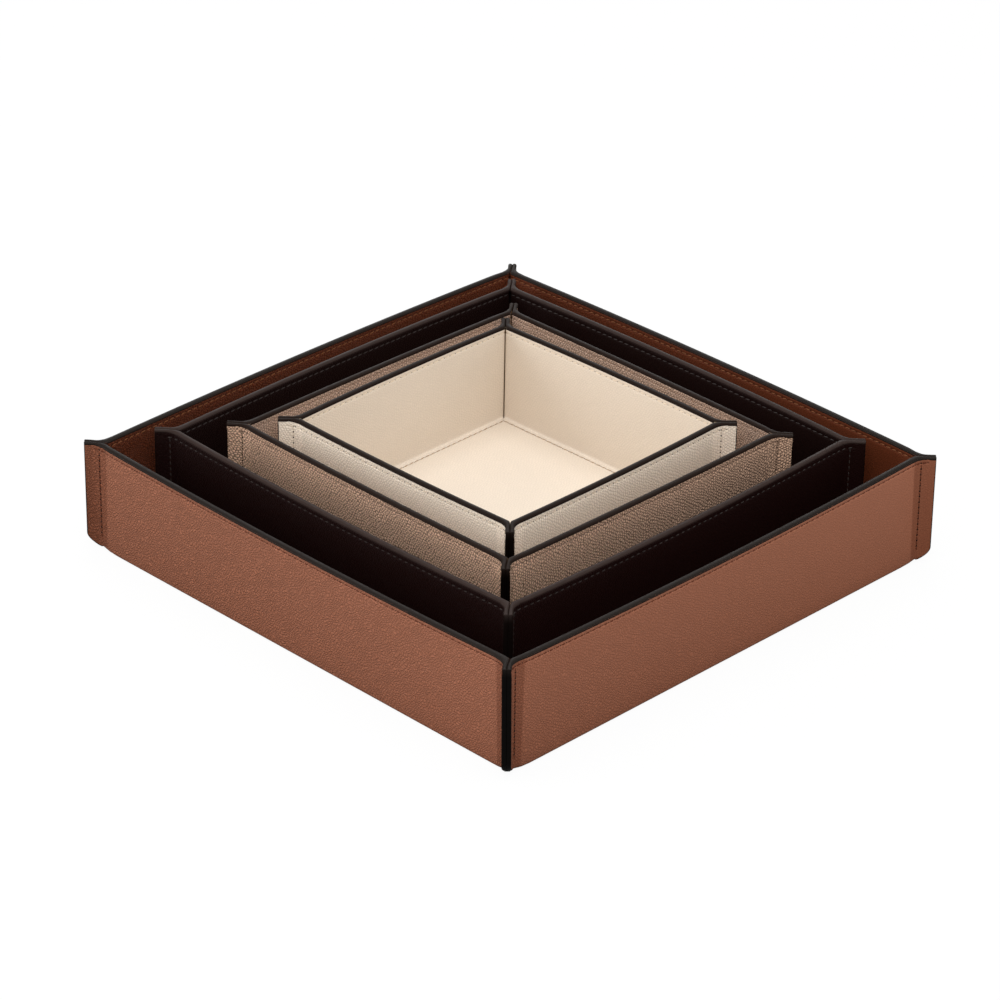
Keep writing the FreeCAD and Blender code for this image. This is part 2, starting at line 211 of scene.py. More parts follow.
class SkinFace:
    """The seen face of one skin: outside for the outer leather, inside for the lining.

    A column runs 0 to 1 along half a wall, to 2 round the bend and to 3 at the ear's tip; a negative column
    is the other half. A level runs 0 to 1 from the foot to the rim.
    """

    def __init__(self, place, outside):
        size = sizes()
        wall = 2 * size.leather + size.board
        self.place = place
        self.side = 1 if outside else -1
        self.plane = place.half - (0 if outside else wall)
        self.leaf = size.ear_slit / 2 + (2 * size.leather if outside else 0)
        self.floor = 0 if outside else size.base
        self.fold = size.fold if outside else size.lining_fold
        self.bends = (size.bend_foot, size.bend_rim) if outside else (size.lining_bend, size.lining_bend)
        self.corner = self.plane - math.sqrt(2) * self.leaf
        self.sharp = math.sqrt(2) * place.half
        self.tip = self.sharp + place.ear
        self.cut = self.tip - size.foot_width
        self.rim_seam = place.rim_seam if outside else size.inner_rim_seam

    def bend_at(self, z):
        """Bend radius at a height."""
        low, high = self.bends
        return low + (high - low) * z / self.place.height

    def ear_start(self, z):
        """Where the flat ear starts, along the diagonal."""
        return math.sqrt(2) * self.plane - self.leaf + TURN_SHARE * self.bend_at(z)

    def along_ear(self, column, z):
        """Distance along the diagonal at a column of the bend or the ear."""
        bend = self.bend_at(z)
        if column <= 2:
            angle = (column - 1) * EAR_TURN
            straight = self.corner - TURN_SHARE * bend
            return (straight + self.plane + bend * (math.sin(angle) + 1 - math.cos(angle))) / math.sqrt(2)
        start = self.ear_start(z)
        return start + (column - 2) * (self.tip - start)

    def ear_column(self, t, z):
        """Column of the bend or the ear at a distance along the diagonal."""
        start = self.ear_start(z)
        if t >= start:
            return 2 + (t - start) / (self.tip - start)
        bend = self.bend_at(z)
        middle = self.corner - TURN_SHARE * bend + self.plane + bend
        share = (math.sqrt(2) * t - middle) / (math.sqrt(2) * bend)
        return 1 + max(0, EAR_TURN + math.asin(max(share, -math.sin(EAR_TURN)))) / EAR_TURN

    def ear_columns(self):
        """Columns of the ear, closer together towards its tip."""
        steps = 12
        return [2 + math.sin(QUARTER * i / steps) for i in range(1, steps + 1)]

    def foot(self, column):
        """Height of the skin's lower edge at a column."""
        if column <= 1:
            return self.floor
        t = self.along_ear(column, 0)
        lead_length = 3 * MM
        lead = self.floor * min(max(0, 1 - (t - self.ear_start(0)) / lead_length), 1)
        share = min(max((t - self.cut) / (self.tip - self.cut), 0), 1)
        roundness = 1.5
        rise = sizes().foot_rise * math.sin(QUARTER * min(column - 1, 1))
        cut = (sizes().foot_height - rise) * (1 - (1 - share**roundness) ** (1 / roundness))
        return max(lead, rise + cut)

    def draw_in(self, column, z, t):
        """How far the seams and the rolled rim draw the seen face in."""
        size = sizes()
        spread = 0.55 * MM
        depth = self.place.height - z
        rim_end, ear_from, upright_top = 2.1, 1.5, 0.8 * self.rim_seam
        rim = math.exp(-(((depth - self.rim_seam) / spread) ** 2)) if column <= rim_end else 0
        upright = 0
        if self.side > 0 and column >= ear_from and depth > upright_top:
            upright = math.exp(-(((self.tip - t - size.corner_seam) / spread) ** 2))
        roll_depth, roll = 1.3 * MM, 0.22 * MM
        rolled = roll * max(0, 1 - depth / roll_depth) ** 2
        if self.side < 0:
            rolled *= min(max(2 - column, 0), 1)
        return size.groove * max(rim, upright) + rolled

    def lift(self, x, y):
        """How far the outer leather is drawn up at a corner of the base."""
        if self.side < 0:
            return 0
        corner = self.plane - self.fold
        away = math.hypot(max(corner - abs(x), 0), max(corner - abs(y), 0))
        reach = 5 * MM
        return sizes().corner_lift * math.exp(-((away / reach) ** 2))

    def point(self, column, level):
        """Point of the seen face of the front wall."""
        along = abs(column)
        foot = self.foot(along)
        z = foot + level * (self.place.height - foot)
        bend = self.bend_at(z)
        straight = self.corner - TURN_SHARE * bend
        angle = min(max(along - 1, 0), 1) * EAR_TURN
        x = straight * min(along, 1) + bend * math.sin(angle)
        y = -self.plane - bend * (1 - math.cos(angle))
        t = (x - y) / math.sqrt(2)
        if along > 2:
            run = self.along_ear(along, z) - self.ear_start(z)
            x += run / math.sqrt(2)
            y -= run / math.sqrt(2)
            t += run
        normal = Vector((-math.sin(angle), -math.cos(angle), 0))
        inside = self.place.height - self.floor
        out = self.place.bow * (max(z - self.floor, 0) / inside) ** BOW_RISE * max(0, 1 - along**2)
        out -= self.side * self.draw_in(along, z, t)
        near = max(0, 1 - (z - self.floor) / self.fold) * min(max(2 - along, 0), 1)
        out -= self.fold * (1 - math.sqrt(1 - near**2))
        x += min(along, 1) * (self.plane - self.fold - straight) * near**2
        place = Vector((x, y, z)) + normal * out
        lift_height = 8 * MM
        place.z += self.lift(place.x, place.y) * max(0, 1 - z / lift_height)
        place.x = math.copysign(place.x, column)
        return place

    def flat(self, column, level):
        """Place of a point on the leather as it was cut, for its grain."""
        along = abs(column)
        arc = self.bend_at(self.place.height / 2) * EAR_TURN
        straight = self.corner - TURN_SHARE * self.bend_at(self.place.height / 2)
        ear = self.tip - self.ear_start(self.place.height / 2)
        u = straight * min(along, 1) + arc * min(max(along - 1, 0), 1) + ear * max(along - 2, 0)
        return Vector((math.copysign(u, column), -self.plane - level * self.place.height, 0))

    def normal(self, column, level):
        """Seen side's direction on the front wall at a column and a level."""
        step = 1e-3
        across = self.point(column + step, level) - self.point(column - step, level)
        up = self.point(column, min(level + step, 1)) - self.point(column, level - step)
        return across.cross(up).normalized() * self.side

    def wall_columns(self):
        """Columns of half a wall, close together near its end."""
        fine = [0.8, 1.5, 2.0, 2.4, 2.7, 3.0, 3.5, 4.2, 5.5]
        straight = self.corner - TURN_SHARE * self.bend_at(self.place.height)
        ends = [1 - mm * MM / straight for mm in reversed(fine)]
        pitch = 5 * MM
        count = round(ends[0] * straight / pitch)
        return [ends[0] * i / count for i in range(count)] + ends + [1]

    def columns(self):
        """All columns of a wall with its two ears."""
        bend_steps = 6
        bend = [1 + i / bend_steps for i in range(1, bend_steps + 1)]
        half = self.wall_columns() + bend + self.ear_columns()
        return [-c for c in reversed(half[1:])] + half

    def levels(self):
        """All levels of a wall, close together at the fold, the rim seam and the rim."""
        inside = self.place.height - self.floor
        fold_steps = 5
        fold = [self.fold * (1 - math.cos(QUARTER * i / fold_steps)) for i in range(fold_steps)]
        depths = [9, 6, 4.5, 3.9, 3.5, 3.15, 2.8, 2.45, 2.1, 1.7, 1.3, 0.95, 0.65, 0.4, 0.2, 0]
        rim = [inside - d * MM for d in depths]
        rows = 8
        wall = [self.fold + (rim[0] - self.fold) * i / rows for i in range(rows)]
        return [z / inside for z in fold + wall + rim]


def quarter_turn(quarter):
    """Turn from the front wall to another wall."""
    return Matrix.Rotation(quarter * QUARTER, 3, "Z")


def fold_wall(bm, face, quarter):
    """Adds one wall of a skin, folded up and pinched out at both ends."""
    columns, levels = face.columns(), face.levels()
    across, up = len(columns) - 1, len(levels) - 1
    grid = bmesh.ops.create_grid(bm, x_segments=across, y_segments=up, size=1)
    hide = bm.loops.layers.uv["hide"]
    ear, foot = bm.verts.layers.float["ear"], bm.verts.layers.float["foot"]
    # Weights for painted light and shade: ear runs from just before the bend out to the tip, on the lining
    # from mid-bend inside the slit, and fades towards the rim; foot grows towards the outer leather's foot.
    start, end = 1.4, 2.0
    if face.side > 0:
        before, after = 3.4 * MM, 2.4 * MM
        start, end = 1 - before / face.plane, 1 - after / face.plane
    fall, rim_fade = 1.3, 0.35
    flat = {}
    for vert in grid["verts"]:
        column = columns[round((vert.co.x + 1) / 2 * across)]
        level = levels[round((vert.co.y + 1) / 2 * up)]
        flat[vert] = (quarter_turn(quarter) @ face.flat(column, level)).xy
        vert[ear] = min(max((abs(column) - start) / (end - start), 0), 1)
        if face.side > 0:
            vert[foot] = (1 - level) ** fall * (1 - vert[ear])
            vert[ear] *= 1 - rim_fade * level
        vert.co = quarter_turn(quarter) @ face.point(column, level)
    for vert, place in flat.items():
        for loop in vert.link_loops:
            loop[hide].uv = place


def lay_floor(bm, face):
    """Adds the flat part of a skin, with the ridge and groove of its floor seam where it is seen."""
    half = face.wall_columns()
    columns = [-c for c in reversed(half[1:])] + half
    across = len(columns) - 1
    grid = bmesh.ops.create_grid(bm, x_segments=across, y_segments=across, size=1)
    hide = bm.loops.layers.uv["hide"]
    reach = face.plane - face.fold
    seam = sizes().floor_seam - face.fold
    groove_width, ridge_width, edge_width = 0.5 * MM, 0.6 * MM, 0.3 * MM
    groove_depth, ridge_height = 1.3 * sizes().groove, 0.45 * MM
    for vert in grid["verts"]:
        x = columns[round((vert.co.x + 1) / 2 * across)] * reach
        y = columns[round((vert.co.y + 1) / 2 * across)] * reach
        vert.co = Vector((x, y, face.floor + face.lift(x, y)))
        inward = reach - max(abs(x), abs(y))
        if face.side < 0:
            groove = math.exp(-(((inward - seam) / groove_width) ** 2))
            ridge = math.exp(-(((inward - seam / 2) / ridge_width) ** 2))
            edge = min(inward / edge_width, 1)
            vert.co.z += edge * (ridge_height * ridge - groove_depth * groove)
        for loop in vert.link_loops:
            loop[hide].uv = (x, y)


def skin_mesh(face):
    """One whole skin of a tray, cut as a cross and folded, with its thickness."""
    bm = bmesh.new()
    bm.loops.layers.uv.new("hide")
    bm.verts.layers.float.new("ear")
    bm.verts.layers.float.new("foot")
    lay_floor(bm, face)
    for quarter in range(4):
        fold_wall(bm, face, quarter)
    weld = 0.01 * MM
    bmesh.ops.remove_doubles(bm, verts=bm.verts, dist=weld)
    bmesh.ops.recalc_face_normals(bm, faces=bm.faces)
    lowest = min(bm.faces, key=lambda f: f.calc_center_median().length)
    if lowest.normal.z * face.side > 0:
        bmesh.ops.reverse_faces(bm, faces=bm.faces)
    bmesh.ops.solidify(bm, geom=bm.faces, thickness=sizes().leather)
    return bm


def board_mesh(place, quarter):
    """A wall board, bowed with its wall."""
    size = sizes()
    face = SkinFace(place, True)
    steps = 24
    end_gap, top_gap, play = 5.6 * MM, 0.6 * MM, 0.05 * MM
    bm = bmesh.new()
    grid = bmesh.ops.create_grid(bm, x_segments=steps, y_segments=steps, size=1)
    reach = place.half - end_gap
    low = size.base
    high = place.height - top_gap
    for vert in grid["verts"]:
        z = low + (vert.co.y + 1) / 2 * (high - low)
        out = place.bow * (z / place.height) ** BOW_RISE * (1 - vert.co.x**2)
        y = -face.plane + size.leather + play - out
        vert.co = quarter_turn(quarter) @ Vector((vert.co.x * reach, y, z))
    bmesh.ops.recalc_face_normals(bm, faces=bm.faces)
    outward = quarter_turn(quarter) @ Vector((0, -1, 0))
    bm.faces.ensure_lookup_table()
    if bm.faces[0].normal.dot(outward) < 0:
        bmesh.ops.reverse_faces(bm, faces=bm.faces)
    bmesh.ops.solidify(bm, geom=bm.faces, thickness=size.board - 2 * play)
    return bm


def edge_stations(outer, lining):
    """Stations along a wall's cut edge, foot to foot: outer point, inner point and the way the edge faces."""
    height = outer.place.height
    up = Vector((0, 0, 1))
    away = Vector((1, -1, 0)).normalized()

    def rim(column):
        t = outer.along_ear(column, height) if column > 2 else 0
        if column <= 1:
            inner = column * outer.point(1, 1).x / lining.point(1, 1).x
        else:
            inner = lining.ear_column(t, height) if column > 2 else column
        edge = outer.point(column, 1)
        if column > 1:
            edge = edge + outer.normal(column, 1) * sizes().ear_lap
        return edge, lining.point(inner, 1), up

    half = []
    steps = 12
    first_facing, corner_rise = 0.1, 0.6
    for i in range(steps):
        share = math.sin(QUARTER * i / steps)
        t = outer.cut + share * (outer.tip - outer.cut)
        facing = (away * (0.5 + 0.5 * share) - up * (1 - share)).normalized()
        facing = facing * min(first_facing + share, TIP_FACING)
        foot = outer.point(outer.ear_column(t, 0), 0)
        half.append((foot, lining.point(lining.ear_column(t, 0), 0), facing))
    half += [(outer.point(3, i / steps), lining.point(3, i / steps), TIP_FACING * away) for i in range(steps)]
    half.append((outer.point(3, 1), lining.point(3, 1), TIP_FACING * away + corner_rise * up))
    half += [rim(column) for column in reversed(outer.columns()) if 0 <= column < 3]
    other = [tuple(Vector((-p.x, p.y, p.z)) for p in station) for station in reversed(half[:-1])]
    return half + other


def paint_ring(station, count, lap):
    """Points of the paint's section at one station of a cut edge, which it laps most along the rim."""
    outer, inner, facing = station
    middle, reach = (outer + inner) / 2 - facing * sizes().paint_sink, (outer - inner) / 2
    lap = TIP_LAP + (lap - TIP_LAP) * max(facing.z, 0)
    reach = reach * (1 + lap / max(reach.length, lap))
    ring = []
    for i in range(count):
        angle = 2 * math.pi * i / count
        rise = math.sin(angle) * (sizes().crown if i < count / 2 else PAINT_BELLY)
        ring.append(middle + reach * math.cos(angle) + facing * rise)
    return ring


def paint_edge(bm, stations, quarter, lap):
    """Adds the rounded paint along one wall's cut edge."""
    count = 12
    turn = quarter_turn(quarter)
    # The ear weight marks painted shade on the paint: 1 where an edge faces sideways, on the ears' tips and
    # feet, falling to 0 where the rim faces up.
    ear = bm.verts.layers.float["ear"]
    ring = bmesh.ops.create_circle(bm, segments=count, cap_ends=True)["verts"]
    for vert, point in zip(ring, paint_ring(stations[0], count, lap)):
        vert.co = turn @ point
        vert[ear] = 1
    edges = [e for e in bm.edges if e.is_boundary or len(e.link_faces) == 1]
    edges = [e for e in edges if all(v in ring for v in e.verts)]
    for station in stations[1:]:
        old = {v: i for i, v in enumerate(ring)}
        new = bmesh.ops.extrude_edge_only(bm, edges=edges)["geom"]
        verts = [g for g in new if isinstance(g, bmesh.types.BMVert)]
        edges = [g for g in new if isinstance(g, bmesh.types.BMEdge)]
        points = paint_ring(station, count, lap)
        ring = [None] * count
        for vert in verts:
            before = next(e.other_vert(vert) for e in vert.link_edges if e.other_vert(vert) in old)
            ring[old[before]] = vert
            vert.co = turn @ points[old[before]]
            vert[ear] = 1 - max(station[2].z, 0)
    bmesh.ops.contextual_create(bm, geom=edges)


def stitch_frame(point, along, outward):
    """Matrix that lays a unit ball along a seam."""
    along = along.normalized()
    across = outward.cross(along).normalized()
    lift = along.cross(across)
    return Matrix.Translation(point) @ Matrix((along, across, lift)).transposed().to_4x4()


def stitch_pattern(pitch, share, needle):
    """One stitch along X over a share of its pitch, with a needle hole at its end, as a mesh to copy."""
    size = sizes()
    narrow, hole_depth = 0.9, 0.2 * MM
    raised, flattened, slant = 0.1, 0.46, math.radians(7)
    bm = bmesh.new()
    # Painted shade: a dark flattened ball stands for the shade inside the needle hole.
    hole = Matrix.Translation((pitch / 2, 0, 0)) @ Matrix.Diagonal((needle, narrow * needle, hole_depth, 1))
    bmesh.ops.create_uvsphere(bm, u_segments=6, v_segments=4, radius=1, matrix=hole)
    for face in bm.faces:
        face.material_index = 1
    lift = Matrix.Translation((0, 0, raised * size.thread)) @ Matrix.Rotation(slant, 4, "Z")
    body = Matrix.Diagonal((pitch * share / 2, size.thread * 0.5, size.thread * flattened, 1))
    bmesh.ops.create_uvsphere(bm, u_segments=6, v_segments=6, radius=1, matrix=lift @ body)
    mesh = bpy.data.meshes.new("stitch")
    bm.to_mesh(mesh)
    bm.free()
    return mesh


def sew(bm, pattern, pitch, spots):
    """Sews stitches from spot to spot; a spot is a point and the way its surface faces."""
    for (here, facing), (there, _) in zip(spots, spots[1:]):
        stitch = pattern.copy()
        fit = Matrix.Diagonal(((there - here).length / pitch, 1, 1, 1))
        stitch.transform(stitch_frame((here + there) / 2, there - here, facing) @ fit)
        bm.from_mesh(stitch)
        bpy.data.meshes.remove(stitch)


def column_at(face, u):
    """Column at a distance from mid wall, along the flat wall and round the bend at the rim."""
    bend = face.bend_at(face.place.height)
    straight = face.corner - TURN_SHARE * bend
    if abs(u) <= straight:
        return u / straight
    return math.copysign(1 + min((abs(u) - straight) / (bend * EAR_TURN), 1), u)


def rim_spots(face, quarter):
    """Needle holes of the rim seam on one wall."""
    size = sizes()
    turn = quarter_turn(quarter)
    bend = face.bend_at(face.place.height)
    into_bend = 0.95 if face.side > 0 else 0.5
    reach = face.corner - TURN_SHARE * bend + bend * EAR_TURN * into_bend
    count = round(2 * reach / size.stitch_pitch)
    level = 1 - face.rim_seam / (face.place.height - face.floor)
    spots = []
    for i in range(count + 1):
        column = column_at(face, -reach + 2 * reach * i / count)
        spots.append((turn @ face.point(column, level), turn @ face.normal(column, level)))
    return spots


def corner_spots(face, quarter, end):
    """Needle holes of the upright seam on one ear."""
    size = sizes()
    turn = quarter_turn(quarter)
    low, high = 6.5 * MM, face.place.height - face.rim_seam
    count = round((high - low) / size.corner_pitch)
    spots = []
    for i in range(count + 1):
        z = low + (high - low) * i / count
        column = face.ear_column(face.tip - size.corner_seam, z)
        level = z / face.place.height
        spots.append((turn @ face.point(end * column, level), turn @ face.normal(end * column, level)))
    return spots


def floor_spots(face, quarter):
    """Needle holes of the floor seam along one wall."""
    size = sizes()
    turn = quarter_turn(quarter)
    reach = face.plane - size.floor_seam
    count = round(2 * reach / size.stitch_pitch)
    sunk = 0.6
    height = face.floor - sunk * size.groove
    up = Vector((0, 0, 1))
    return [(turn @ Vector((-reach + 2 * reach * i / count, -reach, height)), up) for i in range(count + 1)]


def add_piece(name, bm, tray, materials, stands_for=()):
    """Makes a finished piece of a mesh in the tray's own frame and lets it ride on its tray."""
    place = Place(tray)
    for vert in bm.verts:
        vert.co = place.settle(vert.co)
    bmesh.ops.transform(bm, matrix=place.matrix, verts=bm.verts)
    mesh = bpy.data.meshes.new(name)
    for face in bm.faces:
        face.smooth = True
    bm.to_mesh(mesh)
    bm.free()
    for material in materials:
        mesh.materials.append(material)
    piece = bpy.data.objects.new(name, mesh)
    bpy.context.scene.collection.objects.link(piece)
    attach(piece, f"{tray}_tray")
    if stands_for:
        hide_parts(*stands_for)
    return piece


def add_node(tree, kind, inputs=None, **settings):
    """Adds a shader node with its settings and its input values or links."""
    node = tree.nodes.new(kind)
    for key, value in settings.items():
        setattr(node, key, value)
    for key, value in (inputs or {}).items():
        if isinstance(value, bpy.types.NodeSocket):
            tree.links.new(value, node.inputs[key])
        else:
            node.inputs[key].default_value = value
    return node


def mix_colours(tree, factor, first, second, **settings):
    """Mixes two colours and gives the socket of the result."""
    inputs = {"Factor": factor, 6: first, 7: second}
    return add_node(tree, "ShaderNodeMix", inputs, data_type="RGBA", **settings).outputs[2]


def work_out(tree, operation, *values):
    """Works a value out of others and gives the socket of the result."""
    return add_node(tree, "ShaderNodeMath", dict(enumerate(values)), operation=operation).outputs["Value"]


def new_group(name, inputs, outputs):
    """Starts a shader node group with named value, vector or colour sockets."""
    tree = bpy.data.node_groups.new(name, "ShaderNodeTree")
    for socket, kind in inputs:
        tree.interface.new_socket(socket, in_out="INPUT", socket_type=kind)
    for socket, kind in outputs:
        tree.interface.new_socket(socket, in_out="OUTPUT", socket_type=kind)
    return tree, tree.nodes.new("NodeGroupInput"), tree.nodes.new("NodeGroupOutput")


def grain_group():
    """Embossed grain: staggered bumps, pulled out of line, with pores; stronger on the front and left walls,
    painted raking-light shade.
    """
    if "Leather Grain" in bpy.data.node_groups:
        return bpy.data.node_groups["Leather Grain"]
    value, vector = "NodeSocketFloat", "NodeSocketVector"
    tree, source, target = new_group(
        "Leather Grain",
        [("Vector", vector), ("Pull", value), ("Pores", value), ("Fade", value)],
        [("Height", value), ("Hollow", value), ("Cloud", value)],
    )
    where = source.outputs["Vector"]
    noise = add_node(
        tree, "ShaderNodeTexNoise", {"Vector": where, "Scale": 130.0, "Detail": 4.0, "Roughness": 0.55}
    )
    centred = add_node(
        tree, "ShaderNodeVectorMath", {0: noise.outputs["Color"], 1: (0.5, 0.5, 0.5)}, operation="SUBTRACT"
    )
    pull = add_node(
        tree,
        "ShaderNodeVectorMath",
        {0: centred.outputs["Vector"], "Scale": source.outputs["Pull"]},
        operation="SCALE",
    )
    pulled = add_node(tree, "ShaderNodeVectorMath", {0: where, 1: pull.outputs["Vector"]}, operation="ADD")
    across, up = 2 * math.pi / GRAIN_PITCH, 2 * math.pi / GRAIN_ROWS
    waves = []
    for direction in ((across, -up / 2, 0.0), (0.0, up, 0.0), (across, up / 2, 0.0)):
        phase = add_node(
            tree, "ShaderNodeVectorMath", {0: pulled.outputs["Vector"], 1: direction}, operation="DOT_PRODUCT"
        )
        waves.append(work_out(tree, "COSINE", phase.outputs["Value"]))
    three = work_out(tree, "ADD", work_out(tree, "ADD", waves[0], waves[1]), waves[2])
    bumps = add_node(
        tree,
        "ShaderNodeMapRange",
        {"Value": three, 1: -1.4, 2: 1.6, 3: 0.0, 4: 1.0},
        interpolation_type="SMOOTHSTEP",
    )
    spots = add_node(
        tree, "ShaderNodeTexNoise", {"Vector": where, "Scale": 1100.0, "Detail": 3.0, "Roughness": 0.65}
    )
    pores = work_out(tree, "MULTIPLY", spots.outputs["Fac"], source.outputs["Pores"])
    bump = bumps.outputs["Result"]
    height = work_out(tree, "ADD", bump, pores)
    low = add_node(
        tree, "ShaderNodeMapRange", {"Value": spots.outputs["Fac"], 1: 0.35, 2: 0.65, 3: 0.3, 4: 1.0}
    )
    hollow = work_out(tree, "MULTIPLY", work_out(tree, "SUBTRACT", 1.0, bump), low.outputs["Result"])
    cloud = add_node(tree, "ShaderNodeTexNoise", {"Vector": where, "Scale": 22.0, "Detail": 3.0})
    # Painted raking-light shade: the grain's bumps and hollows grow stronger on the front and left walls and
    # fainter on the right and back.
    raking_side = add_node(tree, "ShaderNodeVectorMath", {0: where, 1: (-1.0, -1.0, 0.0)}, operation="DOT_PRODUCT")
    near = add_node(
        tree, "ShaderNodeMapRange", {"Value": raking_side.outputs["Value"], 1: -0.3, 2: 0.3, 3: -1.0, 4: 1.0}
    )
    strong = work_out(tree, "MULTIPLY_ADD", near.outputs["Result"], source.outputs["Fade"], 1.0)
    for result, socket in ((height, "Height"), (hollow, "Hollow")):
        about = work_out(tree, "SUBTRACT", result, MEAN_GRAIN)
        faded = work_out(tree, "MULTIPLY_ADD", about, strong, MEAN_GRAIN)
        tree.links.new(faded, target.inputs[socket])
    tree.links.new(cloud.outputs["Fac"], target.inputs["Cloud"])
    return tree


GRAIN_PITCH = 1.75 * MM
GRAIN_ROWS = 1.3 * MM
MEAN_GRAIN = 0.33
GRAINS = {
    "large": {
        "depth": 0.28, "shade": 0.60, "lining_shade": 0.40,
        "lining_depth": 0.2, "rough": 0.5, "gloss": 0.22, "pull": 8.0,
    },
    "medium": {
        "depth": 0.16, "shade": 0.70, "lining_shade": 0.70,
        "lining_depth": 0.1, "rough": 0.55, "gloss": 0.1, "pull": 8.0,
    },
    "small": {
        "depth": 0.42, "shade": 0.02, "lining_shade": 0.16,
        "lining_depth": 0.2, "rough": 0.6, "gloss": 0.2, "pull": 5.0,
    },
    "mini": {
        "depth": 0.22, "shade": 0.70, "lining_shade": 0.90,
        "lining_depth": 0.06, "rough": 0.6, "gloss": 0.2, "pull": 5.0,
    },
}
# How far the grain grows stronger on the front and left walls and fainter on the right and back: painted
# raking-light shade.
RAKING_LIGHT_FADES = {"large": 0.80, "medium": 0.5, "small": 0.0, "mini": 0.0}
# Painted shade and light on the ears: the large tray's ears and the strip before their bends are darkened as
# painted shade, the small and mini ears lightened as painted light.
EAR_LIGHT_AND_SHADE = {
    "large": (0.58, 0.49, 0.42),
    "medium": (1.0, 1.0, 1.0),
    "small": (1.2, 1.22, 1.22),
    "mini": (1.15, 1.14, 1.15),
}
# Painted shade inside the slit between an ear's two leaves, on the lining.
SLIT_SHADE = (0.45, 0.34, 0.18)
# Painted shade and light towards each wall's foot: the large tray darkens towards its foot as painted shade,
# the small tray pales towards it as painted light.
FOOT_LIGHT_AND_SHADE = {
    "large": (0.78, 0.73, 0.69),
    "medium": (1.0, 1.0, 1.0),
    "small": (1.12, 1.16, 1.2),
    "mini": (1.0, 1.0, 1.0),
}


def new_material(name):
    """Starts a material and gives its node tree and its shader."""
    material = bpy.data.materials.new(name)
    material.use_nodes = True
    return material, material.node_tree, material.node_tree.nodes["Principled BSDF"]


def shade(rgb, share):
    """A darker or lighter version of a colour, with its alpha."""
    return (*(channel * share for channel in rgb), 1.0)


def leather_material(tray, lining=False):
    """A tray's leather or lining: embossed grain that follows the cut hide, dark hollows, faint clouds, and
    painted shade and light on the ears, in the ear slit and towards the foot.
    """
    name = f"{tray} lining" if lining else f"{tray} leather"
    grain = GRAINS[tray]
    rgb = getattr(colours(), f"{tray}_lining" if lining else tray)
    dark = grain["lining_shade"] if lining else grain["shade"]
    depth = grain["lining_depth"] if lining else grain["depth"]
    # Painted shade in the lining's ear slit; painted shade and light on the outer leather's ears.
    ear_shade = SLIT_SHADE if lining else EAR_LIGHT_AND_SHADE[tray]
    material, tree, shader = new_material(name)
    hide = add_node(tree, "ShaderNodeUVMap", uv_map="hide")
    group = add_node(tree, "ShaderNodeGroup", node_tree=grain_group())
    tree.links.new(hide.outputs["UV"], group.inputs["Vector"])
    group.inputs["Pull"].default_value = grain["pull"] * MM
    group.inputs["Pores"].default_value = 0.5
    group.inputs["Fade"].default_value = RAKING_LIGHT_FADES[tray]
    clouds = mix_colours(tree, group.outputs["Cloud"], shade(rgb, 0.95), shade(rgb, 1.05))
    hollows = mix_colours(tree, group.outputs["Hollow"], clouds, shade(rgb, dark))
    ear = add_node(tree, "ShaderNodeAttribute", attribute_name="ear")
    ear_shaded = mix_colours(tree, ear.outputs["Fac"], hollows, shade(ear_shade, 1), blend_type="MULTIPLY")
    # Painted shade and light towards the outer leather's foot, weighted by the foot attribute.
    foot = add_node(tree, "ShaderNodeAttribute", attribute_name="foot")
    foot_painted_light = shade(FOOT_LIGHT_AND_SHADE[tray], 1)
    footed = mix_colours(
        tree, foot.outputs["Fac"], ear_shaded, foot_painted_light, blend_type="MULTIPLY", clamp_result=True
    )
    dull = grain["rough"] + 0.2
    rough = add_node(
        tree, "ShaderNodeMapRange", {"Value": group.outputs["Hollow"], 3: grain["rough"], 4: dull}
    )
    bump = add_node(
        tree, "ShaderNodeBump", {"Height": group.outputs["Height"], "Strength": 1.0, "Distance": depth * MM}
    )
    tree.links.new(footed, shader.inputs["Base Color"])
    tree.links.new(rough.outputs["Result"], shader.inputs["Roughness"])
    tree.links.new(bump.outputs["Normal"], shader.inputs["Normal"])
    shader.inputs["Specular IOR Level"].default_value = grain["gloss"]
    return material


def paint_material(tray):
    """Paint on a tray's cut edges: dark, satin and slightly uneven, with painted shade on the sideways-facing
    tips and feet.
    """
    material, tree, shader = new_material(f"{tray} edge paint")
    rgb = getattr(colours(), f"{tray}_paint")
    where = add_node(tree, "ShaderNodeTexCoord")
    streaks = add_node(
        tree, "ShaderNodeTexNoise", {"Vector": where.outputs["Object"], "Scale": 180.0, "Detail": 3.0}
    )
    mixed = mix_colours(tree, streaks.outputs["Fac"], shade(rgb, 0.75), shade(rgb, 1.3))
    # Painted shade: where the paint faces sideways, on the ears' tips and feet, its colour is darkened to a
    # fifth.
    ear = add_node(tree, "ShaderNodeAttribute", attribute_name="ear")
    dark = shade((1, 1, 1), 0.2)
    tips = mix_colours(tree, ear.outputs["Fac"], mixed, dark, blend_type="MULTIPLY")
    rough = add_node(tree, "ShaderNodeMapRange", {"Value": streaks.outputs["Fac"], 3: 0.38, 4: 0.58})
    bump = add_node(
        tree, "ShaderNodeBump", {"Height": streaks.outputs["Fac"], "Strength": 0.6, "Distance": 0.1 * MM}
    )
    tree.links.new(tips, shader.inputs["Base Color"])
    tree.links.new(rough.outputs["Result"], shader.inputs["Roughness"])
    tree.links.new(bump.outputs["Normal"], shader.inputs["Normal"])
    shader.inputs["Specular IOR Level"].default_value = 0.08
    return material


